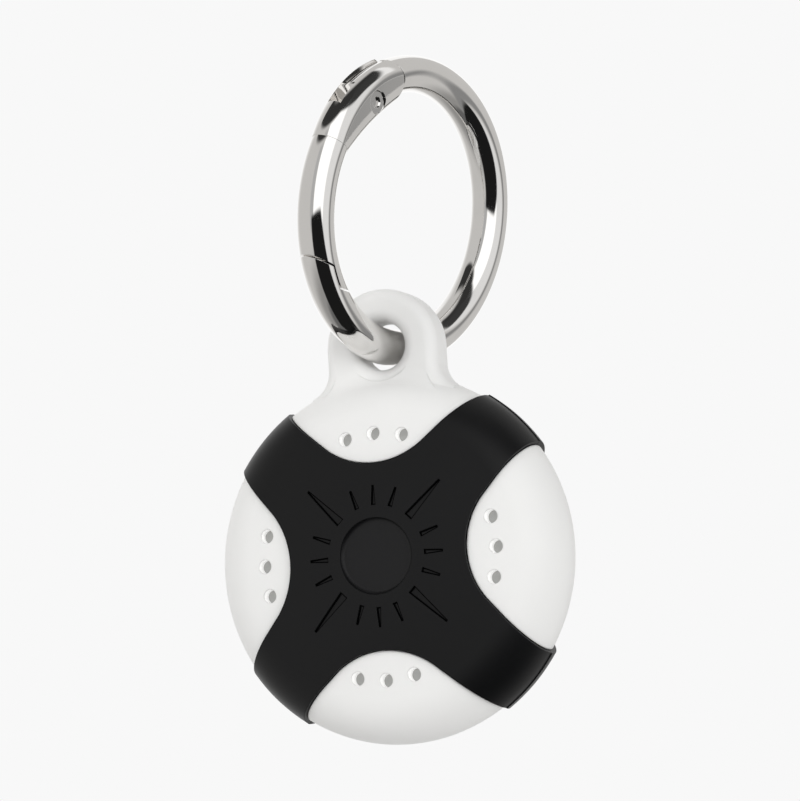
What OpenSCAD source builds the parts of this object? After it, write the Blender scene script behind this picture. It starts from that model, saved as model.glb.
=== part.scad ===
// Round holder for a coin-shaped tracker tag, hung from a spring-gate ring.
// A pale moulded shell takes the tag from behind and a lid closes it. Two dark
// cross-shaped covers clasp the shell from front and back and snap together at
// the rim, under the ends of their arms. The ring passes through the shell's tab.
//
// Axes: the origin is the middle of the tag pocket. X is to the right, Y is to the
// back and Z is up, towards the tab. The dial face of the front cover looks along -Y.

/* [Tag pocket] */
// Diameter of the tag
tag_d = 31.9; // [24:0.1:40]
// Thickness of the tag
tag_t = 8; // [6:0.1:12]
// Room round the edge of the tag, on the radius
tag_room = 0.15; // [0.05:0.05:0.4]
// Room in front of the tag, and the same behind it
tag_play = 0.1; // [0.05:0.05:0.3]
// Radius in the front corner of the pocket
pocket_fillet = 1; // [0.5:0.1:1.5]

/* [Shell] */
// Wall between the pocket and the rim
rim_wall = 3.33; // [3:0.01:5]
// Wall over the middle of the pocket, front and back
face_wall = 2.15; // [1.6:0.05:3]
// Height of the face's crown over the rim's rounding
face_crown = 1; // [0.4:0.05:1.3]

/* [Rear lid] */
// Width of the ledge that the lid rests on
lid_ledge = 0.35; // [0.25:0.05:0.6]
// Depth of the lid's edge below its inner face
lid_lip = 0.5; // [0.3:0.1:0.8]
// Width of the lid's edge below its inner face
lid_lip_w = 1.6; // [1:0.1:2]
// Gap round the lid
lid_gap = 0.05; // [0.03:0.01:0.1]

/* [Perforations] */
// Diameter of each sound hole
perf_d = 1.45; // [1:0.05:1.8]
// Angle between neighbouring sound holes
perf_step = 14.1; // [12:0.1:16]

/* [Tab] */
// Width of the tab
tab_w = 12.4; // [11:0.1:14]
// Thickness of the tab
tab_t = 4.7; // [4:0.1:5.4]
// Radius of the tab's long edges
tab_edge = 1.2; // [0.6:0.1:1.8]
// Radius of the hollow between the tab and the rim
flare_r = 3; // [2.5:0.1:5]
// Length of the straight neck between the flares and the round end
tab_neck = 2; // [1:0.1:4]
// Radius of the blend between the tab and the shell's faces
tab_blend = 3; // [1:0.1:5]
// Diameter of the hole at its narrowest
hole_d = 5.1; // [4.9:0.05:6]
// Radius of the hole's soft edges
hole_mouth = 1.3; // [1:0.1:2]
// Height of the hole's centre over the centre of the round end
hole_up = 0.15; // [0:0.05:1]

/* [Cross covers] */
// Width of each arm at the rim
arm_w = 7.5; // [6:0.1:9]
// Angle at which each side of an arm tapers to the rim
arm_taper = 5; // [1:0.5:8]
// Radius of the four round bays between the arms
bay_r = 8.8; // [7:0.1:10]
// Height of the front cover over the shell
cover_proud = 0.4; // [0.3:0.01:0.8]
// Depth of the channel that the covers lie in
cover_sunk = 0.55; // [0.4:0.05:0.6]
// Extra height of the rear cover
rear_extra = 0.1; // [0:0.05:0.2]
// Gap under each cover
cover_play = 0.05; // [0.03:0.01:0.1]
// Gap along the edges of each cover
cover_edge_gap = 0.08; // [0.05:0.01:0.15]
// Gap between the two covers at the rim
split_gap = 0.08; // [0.04:0.02:0.2]

/* [Dial] */
// Diameter of the dimple
dimple_d = 8.1; // [6:0.1:9]
// Depth of the dimple
dimple_depth = 0.5; // [0.3:0.05:0.6]
// Distance of the marks from the centre, at their inner ends
mark_r = 5.35; // [5:0.05:6]
// Length of the short marks
short_l = 2.1; // [1:0.1:3]
// Length of the long marks
long_l = 5.1; // [3:0.1:7]
// Width of the short marks at their inner ends
short_w = 0.55; // [0.3:0.05:0.8]
// Width of the long marks at their inner ends
long_w = 1; // [0.6:0.05:1.4]
// Width of all marks at their outer ends
mark_tip_w = 0.28; // [0.2:0.02:0.4]
// Depth of the marks
mark_depth = 0.25; // [0.15:0.05:0.4]
// Angle between neighbouring short marks
mark_step = 20; // [15:1:22]

/* [Snap tongues] */
// Width of each tongue
snap_w = 4.2; // [3:0.1:5.5]
// Thickness of each tongue
snap_t = 0.9; // [0.6:0.05:1.1]
// Reach of each tongue past the split, to the front
snap_reach = 2.3; // [1.8:0.1:2.8]
// Height of the hook on each tongue
snap_hook = 0.26; // [0.1:0.02:0.3]
// Length of the ridge that the hook catches behind
snap_ridge = 0.85; // [0.6:0.05:1]
// Gap round each tongue
snap_gap = 0.1; // [0.06:0.02:0.15]

/* [Ring] */
// Inner diameter of the ring
ring_inner_d = 25.2; // [22:0.1:34]
// Diameter of the ring's rod
rod_d = 3.9; // [3.4:0.05:4]
// Lean of the ring to the right
ring_lean = 11; // [0:0.5:12]
// Turn of the ring's front to the left
ring_turn = 17.5; // [0:0.5:18]
// Dip of the rod towards the back, where it passes through the tab
ring_dip = 2.9; // [0:0.1:5]

/* [Gate] */
// Angle of the pivot from the top of the ring
pivot_angle = 41; // [30:1:50]
// Distance of the pivot from the middle of the rod, inwards
pivot_inset = 0.85; // [0.4:0.05:1]
// Distance from the pivot to the gate's end face
gate_reach = 18; // [14:0.1:24]
// Length of the lip past the end face
lip_l = 1.9; // [1:0.1:2.4]
// Thickness of the lip
lip_t = 1.95; // [1:0.05:2.2]
// Gap between the gate and the ring
gate_gap = 0.2; // [0.1:0.01:0.25]
// Height of the gate's swelling round the pivot, on the outer side
swell_h = 0.5; // [0.2:0.05:0.7]
// Height of the gate's swelling round the pivot, on the inner side
belly_h = 1; // [0.3:0.05:1.2]
// Reach of the fork past the pivot
fork_reach = 5.05; // [4:0.05:6]
// Radius of the fork's end
fork_end_r = 2.6; // [2.5:0.1:4]
// Width of the slot in the fork
slot_w = 1.7; // [1.3:0.05:2]
// Depth of the slot past the pivot
slot_back = 4.1; // [3:0.05:4.5]
// Reach of the tongue's outer half past the pivot, inside the slot
tongue_reach = 1; // [0.5:0.1:3]
// Clearance of the tongue in the slot, each side
slot_clear = 0.06; // [0.04:0.01:0.1]

/* [Rivet] */
// Diameter of the rivet's shaft
rivet_d = 1.2; // [0.9:0.05:1.4]
// Diameter of the rivet's heads
rivet_head_d = 2.3; // [1.8:0.05:2.5]
// Diameter of the hollow in each head
rivet_hollow_d = 1.25; // [0.6:0.05:1.3]
// Depth of the hollow in each head
rivet_hollow = 0.3; // [0.1:0.05:0.4]
// Diameter of the sinks that the heads lie in
rivet_sink_d = 2.6; // [2.3:0.05:2.8]
// Running clearance of the shaft in the tongue
rivet_clear = 0.05; // [0.02:0.01:0.08]

/* [Gate spring] */
// Diameter of the spring's bore
bore_d = 1.5; // [1.2:0.05:1.6]
// Length of the spring's bore
bore_l = 4.3; // [3.5:0.1:5]
// Distance of the bore from the pivot, inwards
bore_inset = 0.6; // [0.3:0.05:0.7]
// Length of the plunger
plunger_l = 1.6; // [1.2:0.1:2]
// Clearance of the plunger in its bore
plunger_clear = 0.05; // [0.03:0.01:0.08]
// Gap between the plunger and the tongue
plunger_gap = 0.14; // [0.1:0.01:0.2]
// Diameter of the spring wire
wire_d = 0.2; // [0.15:0.01:0.25]
// Turns of the spring
turns = 4; // [3:1:5]

/* [Hidden] */
$fn = 96;

// Small overlap of two arcs that run into each other
bite = 0.01;
// Facets of the very flat arcs of the faces
flat_fn = 1440;
// Height of the small step where the gate's swelling ends, and the angle it turns through
swell_step = 0.03;
swell_turn = 28;
// One overrun serves all cuts
over = rim_wall;

// The shell, worked out from the tag outwards
pocket_r = tag_d / 2 + tag_room;
pocket_h = tag_t / 2 + tag_play;
shell_r = pocket_r + rim_wall;
shell_h = pocket_h + face_wall;
rim_round = shell_h - face_crown;
rim_c = shell_r - rim_round;
face_tip = rim_round - bite;
face_r = (pow(rim_c, 2) + pow(shell_h, 2) - pow(face_tip, 2)) / (2 * (face_crown + bite));
face_tilt = rim_c * face_tip / (face_r - face_tip);
ledge_h = pocket_h - lid_lip;
lid_r = pocket_r + lid_ledge;
far = 3 * shell_r;

// The tab, tangent to the rim through its two flares
tab_r = tab_w / 2;
tab_h = tab_t / 2;
flare_x = tab_r + flare_r;
flare_z = sqrt(pow(shell_r + flare_r - bite, 2) - pow(flare_x, 2));
tab_z = flare_z + tab_neck;
hole_z = tab_z + hole_up;
neck_x = flare_x * shell_r / (shell_r + flare_r);
blend_r = rim_c + sqrt(pow(rim_round + tab_blend - bite, 2) - pow(tab_h + tab_blend, 2));

// The cross, whose bays run smoothly into the tapered arms
arm_end = shell_r + over;
arm_slope = tan(arm_taper);
arm_root = arm_w / 2 + (shell_r + cover_proud) * arm_slope;
bay_c = (bay_r - bite + arm_root * cos(arm_taper)) * sqrt(2) / (sin(arm_taper) + cos(arm_taper));
bay_floor = bay_c - bay_r;
hub_r = norm([bay_c / sqrt(2) - bay_r * sin(arm_taper), bay_c / sqrt(2) - bay_r * cos(arm_taper)]);

// The sound holes lie midway between the bays' floors and the pocket's wall
perf_r = (bay_floor + pocket_r) / 2;
arm_turns = [45, 135, 225, 315];

// The snap tongues lie inside the front cover's arms
snap_out = rim_c + sqrt(pow(rim_round - cover_play - cover_sunk, 2) - pow(snap_reach, 2)) - snap_gap;
snap_in = snap_out - snap_t;
snap_root = snap_reach + snap_ridge + snap_gap;
ridge_in = snap_out + cover_play;
ridge_start = split_gap / 2 + cover_play;
ridge_end = ridge_start + snap_ridge;

// The ring and its gate, in the plane of the ring
rod_r = rod_d / 2;
ring_r = ring_inner_d / 2 + rod_r;
pivot_r = ring_r - pivot_inset;
fork_c = [fork_reach - fork_end_r, pivot_inset];
swell_at = pivot_angle;
swell_end = swell_at + swell_turn;
swell_shift = bend_shift(swell_h, swell_step);
swell_ring_r = ring_r + swell_h - swell_shift;
belly_shift = bend_shift(-belly_h, -swell_step);
belly_ring_r = ring_r - belly_h - belly_shift;
swell_rod_r = rod_r + swell_step;
gate_end = 150;
lip_r = ring_r - rod_r + lip_t;
tongue_back = slot_back - 2.7 * gate_gap;
rivet_web = slot_w / 2 + rivet_sink_d / 5;
rivet_top = rod_r - gate_gap;
plunger_r = bore_d / 2 - plunger_clear;
plunger_face = tongue_back + plunger_gap;
spring_r = plunger_r - plunger_clear - wire_d;
spring_l = slot_back + bore_l - plunger_face - plunger_l - 2 * plunger_clear;

// Shift of the centre of a bend that is this high over the ring's centre line at
// the pivot, and runs down to the step at the swelling's end
function bend_shift(height, step) =
    (pow(ring_r + height, 2) - pow(ring_r + step, 2))
        / (2 * (ring_r + height - (ring_r + step) * cos(swell_turn)));

// Section of the shell at half its width, with an even offset outwards
module section(grow) {
    translate([rim_c, 0])
        circle(r = rim_round + grow);
    intersection() {
        translate([0, shell_h - face_r])
            circle(r = face_r + grow, $fn = flat_fn);
        translate([0, face_r - shell_h])
            circle(r = face_r + grow, $fn = flat_fn);
        translate([0, -far])
            square([rim_c + face_tilt, 2 * far]);
    }
}

// Turns a section about the holder's axis, with the section's height to the front
module turned() {
    rotate([90, 0, 0])
        rotate_extrude(convexity = 6)
            children();
}

// Slab of an outline drawn in X and Z, from one distance in front to another
module slab(from, to) {
    translate([0, -from, 0])
        rotate([90, 0, 0])
            linear_extrude(height = to - from, convexity = 6)
                children();
}

// Outline of the cross, with an even offset outwards
module cross_outline(grow) {
    for (a = arm_turns)
        rotate(a)
            polygon([[0, -arm_root - grow], [arm_end, arm_end * arm_slope - arm_root - grow],
                     [arm_end, arm_root - arm_end * arm_slope + grow], [0, arm_root + grow]]);
    difference() {
        circle(r = hub_r);
        for (a = [0, 90, 180, 270])
            rotate(a)
                translate([0, bay_c])
                    circle(r = bay_r - grow);
    }
}

// Channel for both covers, cut into the shell and the lid
module cover_channel() {
    difference() {
        slab(-far, far)
            cross_outline(cover_edge_gap);
        turned()
            section(-cover_sunk);
    }
}

// Sound holes in the four bays, through the whole holder
module perforations(from, to) {
    slab(from, to)
        for (quarter = [0, 90, 180, 270], step = [-1, 0, 1])
            rotate(quarter + step * perf_step)
                translate([0, perf_r])
                    circle(d = perf_d, $fn = 32);
}

// Rounded edge of the tab, as an outline of half its width and its thickness
module edge_outline(width) {
    translate([0, -tab_h + tab_edge])
        square([width, tab_t - 2 * tab_edge]);
    translate([0, -tab_h])
        square([width - tab_edge, tab_t]);
    for (side = [-1, 1])
        translate([width - tab_edge, side * (tab_h - tab_edge)])
            circle(r = tab_edge, $fn = 48);
}

// Cutter that leaves a hollow flare with a rounded edge
module flare_cutter() {
    rotate([90, 0, 0])
        rotate_extrude()
            difference() {
                translate([0, -far])
                    square([flare_r + tab_edge, 2 * far]);
                translate([flare_r, -tab_h + tab_edge])
                    square([2 * tab_edge, tab_t - 2 * tab_edge]);
                for (side = [-1, 1])
                    translate([flare_r + tab_edge, side * (tab_h - tab_edge)])
                        circle(r = tab_edge, $fn = 48);
            }
}

// Tab with its flares and its blend into the shell's faces
module tab() {
    translate([0, 0, tab_z])
        turned()
            edge_outline(tab_r + 2 * bite);
    translate([0, 0, flare_z - flare_r / 3])
        linear_extrude(height = tab_neck + flare_r / 3)
            for (side = [0, 1])
                mirror([side, 0])
                    edge_outline(tab_r + bite);
    difference() {
        union() {
            translate([-neck_x, -tab_h, rim_c])
                cube([2 * neck_x, tab_t, flare_z - rim_c]);
            intersection() {
                turned()
                    for (side = [0, 1])
                        mirror([0, side])
                            difference() {
                                polygon([[rim_c, 0], [blend_r, tab_h + tab_blend], [blend_r, 0]]);
                                translate([blend_r, tab_h + tab_blend])
                                    circle(r = tab_blend);
                            }
                translate([-neck_x, -shell_h, rim_c])
                    cube([2 * neck_x, 2 * shell_h, blend_r - rim_c]);
            }
        }
        for (side = [-1, 1])
            translate([side * flare_x, 0, flare_z])
                flare_cutter();
    }
}

// Hole through the tab, with soft mouths
module tab_hole() {
    translate([0, 0, hole_z])
        turned() {
            translate([0, -far])
                square([hole_d / 2, 2 * far]);
            for (side = [0, 1])
                mirror([0, side])
                    difference() {
                        translate([0, tab_h - hole_mouth])
                            square([hole_d / 2 + hole_mouth, hole_mouth + over]);
                        translate([hole_d / 2 + hole_mouth, tab_h - hole_mouth])
                            circle(r = hole_mouth, $fn = 48);
                    }
        }
}

// Pocket for the tag, with the lid's seat behind it
module pocket() {
    turned() {
        translate([0, -far])
            square([lid_r + lid_gap, far - ledge_h]);
        translate([0, -ledge_h])
            square([pocket_r, ledge_h + pocket_h - pocket_fillet]);
        translate([0, -ledge_h])
            square([pocket_r - pocket_fillet, ledge_h + pocket_h]);
        translate([pocket_r - pocket_fillet, pocket_h - pocket_fillet])
            circle(r = pocket_fillet, $fn = 48);
    }
}

// Places a feature at the end of each arm, with X across the arm
module at_arms() {
    for (a = arm_turns)
        rotate([0, a, 0])
            children();
}

// Part of a turned section that is as wide as a tongue, over every arm
module arm_piece(width) {
    intersection() {
        turned()
            children();
        at_arms()
            translate([-width / 2, -far, 0])
                cube([width, 2 * far, far]);
    }
}

// Slots in the rim that the tongues slide in
module snap_slots() {
    arm_piece(snap_w + 2 * snap_gap)
        translate([snap_in - snap_gap, -far])
            square([far, far + snap_reach + snap_gap]);
}

module holder_shell() {
    color("whitesmoke")
        difference() {
            union() {
                turned()
                    section(0);
                tab();
            }
            pocket();
            cover_channel();
            snap_slots();
            perforations(0, far);
            tab_hole();
        }
}

module rear_lid() {
    color("whitesmoke")
        difference() {
            intersection() {
                turned()
                    section(0);
                turned()
                    translate([0, -far])
                        square([lid_r, far - ledge_h]);
            }
            turned()
                translate([0, -pocket_h])
                    square([lid_r - lid_lip_w, pocket_h]);
            cover_channel();
            perforations(-far, 0);
        }
}

// Blank of a cover: a shell of even thickness over the channel's floor
module cover_blank(proud, from, to) {
    difference() {
        intersection() {
            turned()
                section(proud);
            slab(from, to)
                cross_outline(0);
        }
        turned()
            section(cover_play - cover_sunk);
    }
}

// Outline of one tapered mark, pointing outwards
module mark(width, length) {
    translate([0, mark_r])
        polygon([[-width / 2, 0], [width / 2, 0], [mark_tip_w / 2, length], [-mark_tip_w / 2, length]]);
}

// The sixteen marks round the dimple: long ones along the arms, short ones between
module mark_outlines() {
    for (quarter = [0, 90, 180, 270]) {
        rotate(quarter + 45)
            mark(long_w, long_l);
        for (step = [-1, 0, 1])
            rotate(quarter + step * mark_step)
                mark(short_w, short_l);
    }
}

// Ridges inside the front cover's arms, which the hooks catch behind
module snap_ridges() {
    arm_piece(snap_w)
        translate([ridge_in, ridge_start])
            square([rim_c + rim_round - ridge_in, ridge_end - ridge_start]);
}

// Tongues of the rear cover, with their hooks
module snap_tongues() {
    arm_piece(snap_w)
        polygon([
            [snap_in, -snap_root],
            [snap_out, -snap_root],
            [snap_out, ridge_end + snap_gap],
            [snap_out + snap_hook, ridge_end + snap_gap],
            [snap_out, snap_reach],
            [snap_in, snap_reach]
        ]);
}

module front_cross() {
    color("#26272a")
        difference() {
            union() {
                cover_blank(cover_proud, split_gap / 2, far);
                snap_ridges();
            }
            turned() {
                translate([0, shell_h + cover_proud - dimple_depth])
                    square([dimple_d / 2 - dimple_depth, over]);
                translate([dimple_d / 2 - dimple_depth, shell_h + cover_proud])
                    circle(r = dimple_depth, $fn = 48);
            }
            difference() {
                slab(0, far)
                    mark_outlines();
                turned()
                    section(cover_proud - mark_depth);
            }
        }
}

module rear_cross() {
    color("#26272a") {
        cover_blank(cover_proud + rear_extra, -far, -split_gap / 2);
        snap_tongues();
    }
}

// Places the ring's plane: X runs back along the rod in the hole, Y runs up
// and Z runs along the ring's axis, with the origin at the ring's centre
module ring_frame() {
    translate([0, 0, hole_z])
        rotate([0, 0, -ring_turn])
            rotate([0, ring_lean, 0])
                rotate([-ring_dip, 0, 0])
                    translate([0, 0, ring_r])
                        rotate([90, 0, 90])
                            children();
}

// Moves to the pivot: X points along the rod to the top of the ring, Y outwards
module at_pivot() {
    translate([-pivot_r * sin(pivot_angle), pivot_r * cos(pivot_angle), 0])
        rotate([0, 0, pivot_angle])
            children();
}

// Slice of the ring's plane between two angles, counted from the top to the front
module slice(from, to) {
    polygon(concat([[0, 0]], [for (i = [0:3]) far * [-sin(from + (to - from) * i / 3),
                                                     cos(from + (to - from) * i / 3)]]));
}

// Outline of the gate, grown by a gap where the ring makes room for it
module gate_outline(gap) {
    intersection() {
        slice(0, gate_end);
        at_pivot()
            circle(r = gate_reach + gap, $fn = 360);
        at_pivot() {
            translate(fork_c)
                circle(r = fork_end_r + gap);
            translate([-far, -far])
                square([far + fork_c.x, 2 * far]);
        }
    }
    intersection() {
        slice(90, gate_end);
        at_pivot()
            circle(r = gate_reach + lip_l + gap, $fn = 360);
        circle(r = lip_r + gap, $fn = 180);
    }
}

// Round rod bent to a full circle
module rod_ring(radius, thick) {
    rotate_extrude($fn = 180)
        translate([radius, 0])
            circle(r = thick, $fn = 64);
}

// Moves away from the ring's centre, in the direction of the pivot
module towards_pivot(shift) {
    translate([-shift * sin(swell_at), shift * cos(swell_at), 0])
        children();
}

// Half a rod, inside or outside its centre line, bent round the swelling
module swollen_half(shift, radius, inner) {
    intersection() {
        towards_pivot(shift)
            rotate_extrude($fn = 180)
                intersection() {
                    translate([radius, 0])
                        circle(r = swell_rod_r, $fn = 64);
                    translate([radius - inner * rod_d, -rod_d])
                        square([rod_d, 2 * rod_d]);
                }
        translate([0, 0, -rod_d])
            linear_extrude(height = 2 * rod_d)
                slice(0, swell_end);
    }
}

// Rod of the gate, which swells out smoothly to both sides round the pivot
module gate_rod() {
    rotate(90 + swell_at)
        rotate_extrude(angle = gate_end - swell_at, $fn = 180)
            translate([ring_r, 0])
                circle(r = rod_r, $fn = 64);
    translate([0, 0, bite - swell_rod_r])
        linear_extrude(height = 2 * (swell_rod_r - bite))
            intersection() {
                difference() {
                    towards_pivot(swell_shift)
                        circle(r = swell_ring_r, $fn = 180);
                    towards_pivot(belly_shift)
                        circle(r = belly_ring_r, $fn = 180);
                }
                slice(0, swell_end);
            }
    swollen_half(swell_shift, swell_ring_r, 0);
    swollen_half(belly_shift, belly_ring_r, 1);
}

// Tongue between the fork's cheeks, with its nose for the plunger
module gate_tongue() {
    intersection() {
        rod_ring(ring_r, rod_r - slot_clear);
        translate([0, 0, slot_clear - slot_w / 2])
            linear_extrude(height = slot_w - 2 * slot_clear)
                at_pivot() {
                    translate([-tongue_back, -far])
                        square([tongue_back + fork_reach + rod_r, far + pivot_inset / 2]);
                    translate([-tongue_reach, 0])
                        square([tongue_reach + fork_reach + rod_r, far]);
                }
    }
}

module ring_body() {
    color("silver")
        ring_frame()
            difference() {
                union() {
                    difference() {
                        rod_ring(ring_r, rod_r);
                        translate([0, 0, -rod_d])
                            linear_extrude(height = 2 * rod_d)
                                gate_outline(gate_gap);
                    }
                    gate_tongue();
                }
                at_pivot()
                    cylinder(h = 2 * rod_d, d = rivet_d + 2 * rivet_clear, center = true, $fn = 48);
            }
}

module ring_gate() {
    color("silver")
        ring_frame()
            difference() {
                intersection() {
                    gate_rod();
                    translate([0, 0, -rod_d])
                        linear_extrude(height = 2 * rod_d)
                            gate_outline(0);
                }
                at_pivot() {
                    translate([-slot_back, -far, -slot_w / 2])
                        cube([far, 2 * far, slot_w]);
                    cylinder(h = 2 * rod_d, d = rivet_d + rivet_clear / 2, center = true, $fn = 48);
                    for (side = [0, 1])
                        mirror([0, 0, side])
                            translate([0, 0, rivet_web])
                                cylinder(h = rod_d, d = rivet_sink_d, $fn = 48);
                    translate([over - slot_back, -bore_inset, 0])
                        rotate([0, -90, 0])
                            cylinder(h = bore_l + over, d = bore_d, $fn = 48);
                }
            }
}

module hinge_rivet() {
    color("gainsboro")
        ring_frame()
            at_pivot()
                difference() {
                    union() {
                        cylinder(h = 2 * rivet_web, d = rivet_d, center = true, $fn = 48);
                        for (side = [0, 1])
                            mirror([0, 0, side])
                                translate([0, 0, rivet_web])
                                    cylinder(h = rivet_top - rivet_web, d = rivet_head_d, $fn = 48);
                    }
                    for (side = [0, 1])
                        mirror([0, 0, side])
                            translate([0, 0, rivet_top - rivet_hollow])
                                cylinder(h = over, d = rivet_hollow_d, $fn = 48);
                }
}

module spring_plunger() {
    color("gainsboro")
        ring_frame()
            at_pivot()
                translate([-plunger_face, -bore_inset, 0])
                    rotate([0, -90, 0])
                        cylinder(h = plunger_l, r = plunger_r, $fn = 48);
}

// Centre line of the gate spring: one helix with a short straight end at each side
curl_steps = 8;
coil_steps = turns * curl_steps;
coil_l = spring_l - 2 * wire_d;
coil_path = [for (i = [0:coil_steps]) [spring_r * cos(360 * i / curl_steps),
                                       spring_r * sin(360 * i / curl_steps),
                                       wire_d + coil_l * i / coil_steps]];
spring_path = concat([[spring_r, 0, 0]], coil_path, [[spring_r, 0, spring_l]]);
spring_last = len(spring_path) - 1;

// Direction of the spring's wire at a point of its centre line
function wire_way(i) =
    let (back = spring_path[max(i - 1, 0)], ahead = spring_path[min(i + 1, spring_last)])
    (ahead - back) / norm(ahead - back);

// Six corners of the wire round a point, square to its direction
function wire_ring(i) =
    let (way = wire_way(i),
         side = cross(way, [0, 0, 1] + 0.3 * spring_path[i] / spring_r),
         u = side / norm(side),
         v = cross(way, u))
    [for (a = [0:60:300]) spring_path[i] + wire_d / 2 * (cos(a) * u + sin(a) * v)];

wire_points = [for (i = [0:spring_last], p = wire_ring(i)) p];
wire_sides = [for (i = [0:spring_last - 1], a = [0:5], half = [0, 1])
    let (b = (a + 1) % 6, low = 6 * i, high = 6 * i + 6)
    half == 0 ? [low + a, low + b, high + b] : [low + a, high + b, high + a]];
wire_caps = [for (a = [1:4], end = [0, 1])
    end == 0 ? [0, a + 1, a] : [6 * spring_last, 6 * spring_last + a, 6 * spring_last + a + 1]];

// Least gap of the spring to itself, over points that lie half a turn or more apart
spring_gap = min([for (i = [0:coil_steps], j = [0:coil_steps])
    if (j - i >= curl_steps / 2) norm(coil_path[i] - coil_path[j]) - wire_d]);
echo(spring_gap = spring_gap);

module gate_spring() {
    color("gray")
        ring_frame()
            at_pivot()
                translate([-plunger_face - plunger_l - plunger_clear, -bore_inset, 0])
                    rotate([0, -90, 0])
                        polyhedron(points = wire_points, faces = concat(wire_sides, wire_caps), convexity = 8);
}

holder_shell();
rear_lid();
front_cross();
rear_cross();
ring_body();
ring_gate();
hinge_rivet();
gate_spring();
spring_plunger();
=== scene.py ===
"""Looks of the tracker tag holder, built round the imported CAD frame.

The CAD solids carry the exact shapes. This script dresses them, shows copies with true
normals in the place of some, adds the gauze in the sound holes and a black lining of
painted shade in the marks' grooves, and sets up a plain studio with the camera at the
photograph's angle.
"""

from __future__ import annotations

import logging
import math
from collections.abc import Callable
from dataclasses import dataclass, field
from enum import Enum

import bmesh
import bpy
from mathutils import Matrix, Vector

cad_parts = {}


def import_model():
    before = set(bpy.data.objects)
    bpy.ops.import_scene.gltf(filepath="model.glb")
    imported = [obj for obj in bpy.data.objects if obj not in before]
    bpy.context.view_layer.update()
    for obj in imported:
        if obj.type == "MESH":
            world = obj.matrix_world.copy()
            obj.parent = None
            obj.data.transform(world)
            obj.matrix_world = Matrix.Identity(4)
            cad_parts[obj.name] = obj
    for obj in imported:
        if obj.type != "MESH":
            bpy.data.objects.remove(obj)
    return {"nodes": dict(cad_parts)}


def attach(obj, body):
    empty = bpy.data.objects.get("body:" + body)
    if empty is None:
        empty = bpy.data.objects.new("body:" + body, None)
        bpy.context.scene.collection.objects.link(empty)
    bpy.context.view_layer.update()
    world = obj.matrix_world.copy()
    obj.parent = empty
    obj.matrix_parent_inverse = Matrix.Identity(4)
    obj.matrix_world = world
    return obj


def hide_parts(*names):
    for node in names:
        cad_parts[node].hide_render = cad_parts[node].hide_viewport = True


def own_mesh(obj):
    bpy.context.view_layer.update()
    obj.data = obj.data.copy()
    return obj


LOG = logging.getLogger("tag_holder")
MM = 0.001
WELD = 1e-7
POLE = 0.001 * MM
WAYS = "true_normal"
QUARTERS = 4
QUARTER_TURN = 90.0
BEVEL_SAMPLES = 8
HOLES_R = 12.925 * MM
HOLE_STEP = 14.1
CROWN_R = 106.7 * MM
Colour = tuple[float, float, float]
Rgba = tuple[float, float, float, float]
Inputs = dict[int | str, object]


class Body(Enum):
    """The bodies of the frame that the scene's own pieces ride on."""

    HOLDER = "holder"
    LID = "lid"
    REAR_COVER = "rear_cover"
    RING = "ring"
    GATE = "gate"


class Slot(Enum):
    """The record's material slots."""

    PALE_SHELL = "pale_shell"
    DARK_COVER = "dark_cover"
    PLATED_METAL = "plated_metal"
    RIVET_METAL = "rivet_metal"
    SPRING_STEEL = "spring_steel"


def grey(light: float) -> Rgba:
    """Gives a neutral colour."""
    return (light, light, light, 1.0)


def placed(name: str, data: bpy.types.ID) -> bpy.types.Object:
    """Makes an object and puts it in the scene.

    Args:
        name: Name of the object.
        data: Its mesh, lamp or camera.

    Returns:
        The object.
    """
    made = bpy.data.objects.new(name, data)
    bpy.context.scene.collection.objects.link(made)
    return made


def dress(node: bpy.types.Object, material: bpy.types.Material) -> None:
    """Gives a CAD node a material.

    Args:
        node: The node's object.
        material: The material for all its slots.
    """
    for slot in node.material_slots:
        slot.material = material
    LOG.info("%s wears %s", node.name, material.name)


def merged_mesh(node: bpy.types.Object, name: str, finish: bpy.types.Material) -> bpy.types.Mesh:
    """Copies a CAD node's mesh, with its corners joined.

    Args:
        node: The CAD node.
        name: Name of the copy.
        finish: The copy's material.

    Returns:
        The copy, with the node's own normals in an attribute.
    """
    mesh = node.data.copy()
    mesh.name = name
    made = bmesh.new()
    made.from_mesh(mesh)
    layer = made.loops.layers.float_vector.new(WAYS)
    given = iter(node.data.corner_normals)
    for face in made.faces:
        for loop in face.loops:
            loop[layer] = next(given).vector
    bmesh.ops.remove_doubles(made, verts=made.verts, dist=WELD)
    made.to_mesh(mesh)
    made.free()
    mesh.materials.clear()
    mesh.materials.append(finish)
    return mesh


def stand_in(
    mesh: bpy.types.Mesh, node: bpy.types.Object, body: Body
) -> bpy.types.Object:
    """Shows a mesh in the place of a CAD node.

    Args:
        mesh: The mesh.
        node: The CAD node.
        body: The node's body.

    Returns:
        The piece that is shown.
    """
    piece = placed(mesh.name, mesh)
    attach(piece, body.value)
    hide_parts(node.name)
    LOG.info("%s stands in for %s", piece.name, node.name)
    return piece


def crowned_copy(
    node: bpy.types.Object, body: Body, finish: bpy.types.Material
) -> None:
    """Shows a copy of a crowned node that has true normals at the poles of its crowns.

    Args:
        node: The CAD node.
        body: The node's body.
        finish: The material.
    """
    mesh = merged_mesh(node, node.name + "_crowned", finish)
    normals = [tuple(item.vector) for item in mesh.attributes[WAYS].data]
    for face in mesh.polygons:
        for loop, index in zip(face.loop_indices, face.vertices):
            point = mesh.vertices[index].co
            if math.hypot(point.x, point.z) < POLE:
                normals[loop] = tuple(face.normal)
    mesh.attributes.remove(mesh.attributes[WAYS])
    mesh.normals_split_custom_set(normals)
    stand_in(mesh, node, body)


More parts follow.
